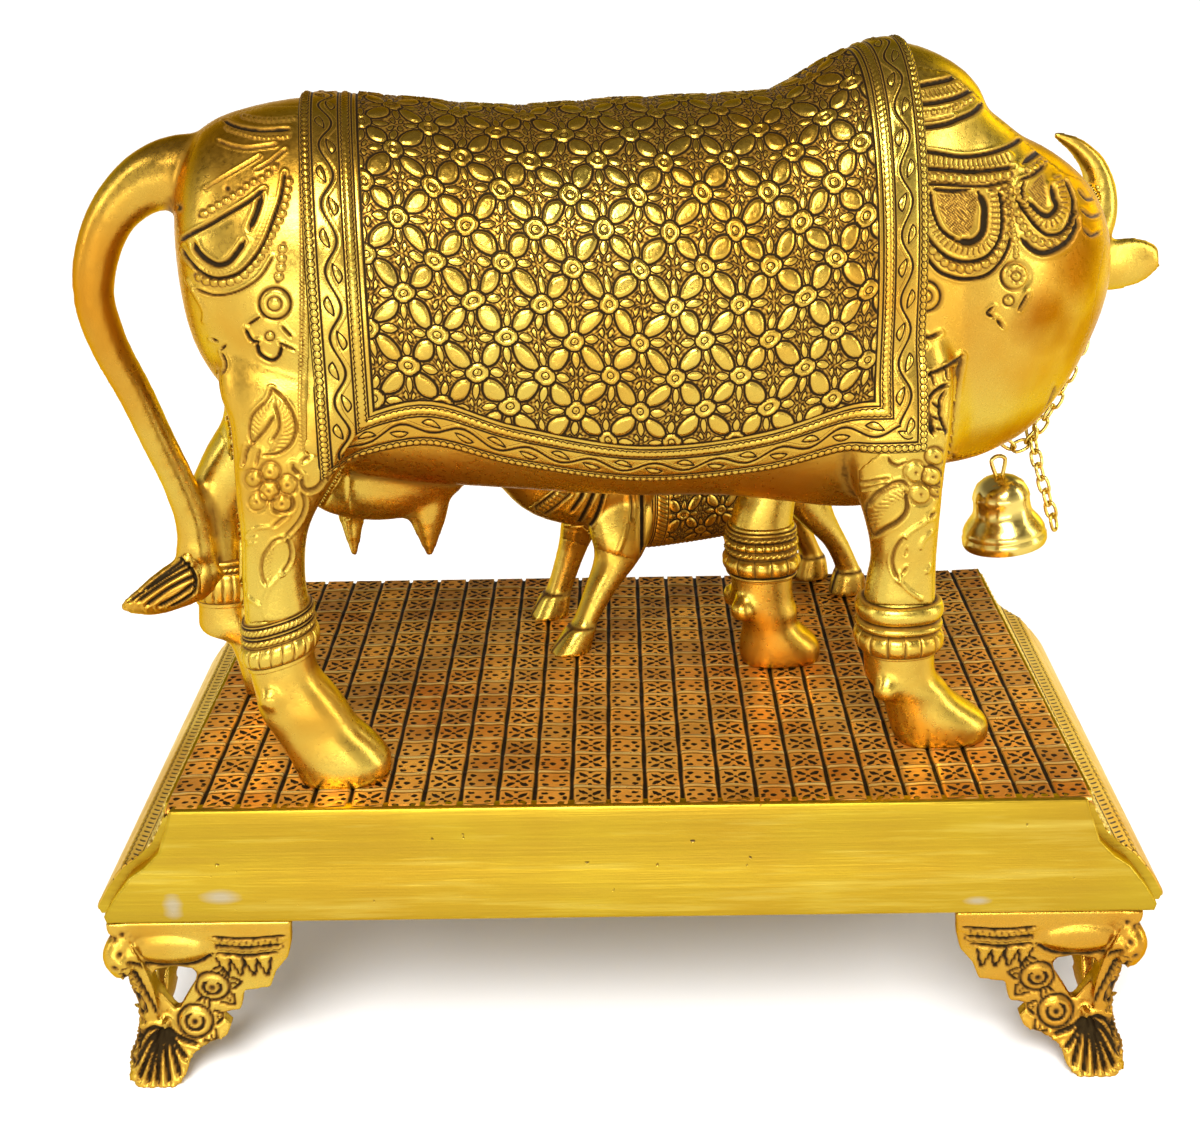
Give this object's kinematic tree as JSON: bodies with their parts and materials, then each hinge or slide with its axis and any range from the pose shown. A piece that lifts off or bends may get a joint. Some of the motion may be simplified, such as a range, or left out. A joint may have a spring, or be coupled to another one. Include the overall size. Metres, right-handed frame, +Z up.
{
  "type": "cow statue",
  "caption": "Cast brass cow in a carved saddle cloth, head turned and belled, with a calf drinking beneath her, on a low tiled stand with scrolled bracket feet.",
  "frame": {"origin": "below the middle of the whole, on the level of the four soles", "axes": "+X the way the cow walks, +Y to her left where her head turns and the calf stands, +Z up"},
  "size_m": [0.2418, 0.1364, 0.2086],
  "materials": {
    "cow": "polished cast brass with black in the carving",
    "chain": "pale drawn wire",
    "bell": "bright polished",
    "calf": "polished cast brass with black in the carving",
    "stand": "brown toned top, brushed bright front",
    "feet": "cast brass with black in the carving"
  },
  "bodies": {
    "root": {"cow": "cow", "neck_chain": "chain", "bell": "bell", "calf": "calf", "stand": "stand", "foot_front_left": "feet", "foot_front_right": "feet", "foot_back_left": "feet", "foot_back_right": "feet"}
  },
  "joints": []
}
